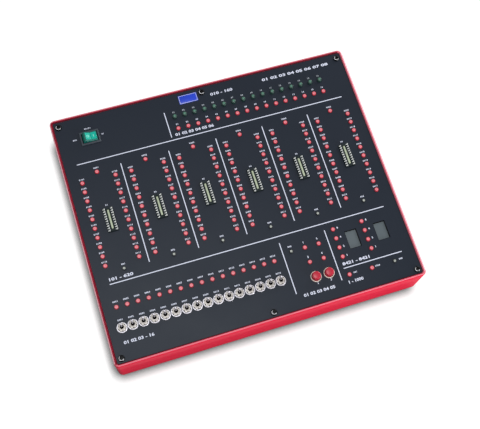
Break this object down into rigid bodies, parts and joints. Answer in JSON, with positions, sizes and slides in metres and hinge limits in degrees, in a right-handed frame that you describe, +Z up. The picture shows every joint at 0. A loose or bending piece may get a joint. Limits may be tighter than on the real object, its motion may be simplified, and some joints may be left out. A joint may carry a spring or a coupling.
{
  "type": "electronics_training_console",
  "caption": "Digital electronics training console: red tray, dark panel with test jacks, chip sockets, lamps, toggle switches, push buttons, digit displays and a mains rocker.",
  "frame": {"origin": "Bottom centre of the bounding box, on the surface that the feet stand on", "axes": "+X to the right along the long front edge, +Y to the back, +Z up"},
  "size_m": [0.321, 0.265, 0.0632],
  "materials": {
    "case_red": "gloss",
    "foot_rubber": "matte",
    "panel_grey": "matte",
    "screw_black": "satin",
    "jack_red": "gloss",
    "jack_black": "gloss",
    "socket_blue_grey": "matte",
    "lamp_green": "gloss",
    "switch_plastic": "matte",
    "contact_metal": "satin",
    "nickel": "polished",
    "ring_beige": "satin",
    "button_red": "gloss",
    "display_grey": "gloss",
    "board_green": "satin",
    "spacer_nylon": "matte",
    "housing_black": "satin",
    "rocker_green": "gloss",
    "core_steel": "matte",
    "winding_tape": "satin",
    "capacitor_sleeve": "gloss",
    "sink_aluminium": "satin"
  },
  "bodies": {
    "console": {"board_spacers": "spacer_nylon", "button_barrels": "switch_plastic", "button_rings": "ring_beige", "capacitors": "capacitor_sleeve", "digit_board": "board_green", "digit_displays": "display_grey", "front_panel": "panel_grey", "ground_jacks": "jack_black", "heat_sink": "sink_aluminium", "ic_sockets": "socket_blue_grey", "indicator_lamps": "lamp_green", "inlet_pins": "contact_metal", "inlet_screws": "screw_black", "inlet_tabs": "contact_metal", "lower_case": "case_red", "main_board": "board_green", "mains_inlet": "housing_black", "panel_posts": "contact_metal", "panel_screws": "screw_black", "power_board": "board_green", "power_posts": "spacer_nylon", "rectifier": "switch_plastic", "red_jacks": "jack_red", "regulator": "switch_plastic", "rocker_blades": "contact_metal", "rocker_housing": "housing_black", "rubber_feet": "foot_rubber", "toggle_bodies": "switch_plastic", "toggle_bushings": "nickel", "toggle_nuts": "nickel", "toggle_terminals": "contact_metal", "toggle_washers": "nickel", "transformer_bracket": "core_steel", "transformer_core": "core_steel", "transformer_winding": "winding_tape"},
    "lever_01": {"toggle_lever_01": "nickel"},
    "lever_02": {"toggle_lever_02": "nickel"},
    "lever_03": {"toggle_lever_03": "nickel"},
    "lever_04": {"toggle_lever_04": "nickel"},
    "lever_05": {"toggle_lever_05": "nickel"},
    "lever_06": {"toggle_lever_06": "nickel"},
    "lever_07": {"toggle_lever_07": "nickel"},
    "lever_08": {"toggle_lever_08": "nickel"},
    "lever_09": {"toggle_lever_09": "nickel"},
    "lever_10": {"toggle_lever_10": "nickel"},
    "lever_11": {"toggle_lever_11": "nickel"},
    "lever_12": {"toggle_lever_12": "nickel"},
    "lever_13": {"toggle_lever_13": "nickel"},
    "lever_14": {"toggle_lever_14": "nickel"},
    "lever_15": {"toggle_lever_15": "nickel"},
    "lever_16": {"toggle_lever_16": "nickel"},
    "rocker": {"power_rocker": "rocker_green"},
    "button_a": {"pulse_button_a": "button_red"},
    "button_b": {"pulse_button_b": "button_red"}
  },
  "joints": [
    {"name": "toggle_01", "type": "hinge", "parent": "console", "child": "lever_01", "pos_m": [-0.1442, -0.0964, 0.0479], "axis": [1, 0, 0], "range_deg": [0, 14]},
    {"name": "toggle_02", "type": "hinge", "parent": "console", "child": "lever_02", "pos_m": [-0.1335, -0.0964, 0.0479], "axis": [1, 0, 0], "range_deg": [0, 14]},
    {"name": "toggle_03", "type": "hinge", "parent": "console", "child": "lever_03", "pos_m": [-0.1228, -0.0964, 0.0479], "axis": [1, 0, 0], "range_deg": [0, 14]},
    {"name": "toggle_04", "type": "hinge", "parent": "console", "child": "lever_04", "pos_m": [-0.1121, -0.0964, 0.0479], "axis": [1, 0, 0], "range_deg": [0, 14]},
    {"name": "toggle_05", "type": "hinge", "parent": "console", "child": "lever_05", "pos_m": [-0.1014, -0.0964, 0.0479], "axis": [1, 0, 0], "range_deg": [0, 14]},
    {"name": "toggle_06", "type": "hinge", "parent": "console", "child": "lever_06", "pos_m": [-0.0907, -0.0964, 0.0479], "axis": [1, 0, 0], "range_deg": [0, 14]},
    {"name": "toggle_07", "type": "hinge", "parent": "console", "child": "lever_07", "pos_m": [-0.08, -0.0964, 0.0479], "axis": [1, 0, 0], "range_deg": [0, 14]},
    {"name": "toggle_08", "type": "hinge", "parent": "console", "child": "lever_08", "pos_m": [-0.0693, -0.0964, 0.0479], "axis": [1, 0, 0], "range_deg": [0, 14]},
    {"name": "toggle_09", "type": "hinge", "parent": "console", "child": "lever_09", "pos_m": [-0.0586, -0.0964, 0.0479], "axis": [1, 0, 0], "range_deg": [0, 14]},
    {"name": "toggle_10", "type": "hinge", "parent": "console", "child": "lever_10", "pos_m": [-0.0479, -0.0964, 0.0479], "axis": [1, 0, 0], "range_deg": [0, 14]},
    {"name": "toggle_11", "type": "hinge", "parent": "console", "child": "lever_11", "pos_m": [-0.0372, -0.0964, 0.0479], "axis": [1, 0, 0], "range_deg": [0, 14]},
    {"name": "toggle_12", "type": "hinge", "parent": "console", "child": "lever_12", "pos_m": [-0.0265, -0.0964, 0.0479], "axis": [1, 0, 0], "range_deg": [0, 14]},
    {"name": "toggle_13", "type": "hinge", "parent": "console", "child": "lever_13", "pos_m": [-0.0158, -0.0964, 0.0479], "axis": [1, 0, 0], "range_deg": [0, 14]},
    {"name": "toggle_14", "type": "hinge", "parent": "console", "child": "lever_14", "pos_m": [-0.0051, -0.0964, 0.0479], "axis": [1, 0, 0], "range_deg": [0, 14]},
    {"name": "toggle_15", "type": "hinge", "parent": "console", "child": "lever_15", "pos_m": [0.0056, -0.0964, 0.0479], "axis": [1, 0, 0], "range_deg": [0, 14]},
    {"name": "toggle_16", "type": "hinge", "parent": "console", "child": "lever_16", "pos_m": [0.0163, -0.0964, 0.0479], "axis": [1, 0, 0], "range_deg": [0, 14]},
    {"name": "power_switch", "type": "hinge", "parent": "console", "child": "rocker", "pos_m": [-0.1242, 0.1044, 0.0504], "axis": [0, 1, 0], "range_deg": [-28, 0]},
    {"name": "press_a", "type": "slide", "parent": "console", "child": "button_a", "axis": [0, 0, -1], "range_m": [0, 0.0025], "stiffness_N_per_m": 300, "springref_m": -0.002},
    {"name": "press_b", "type": "slide", "parent": "console", "child": "button_b", "axis": [0, 0, -1], "range_m": [0, 0.0025], "stiffness_N_per_m": 300, "springref_m": -0.002}
  ]
}
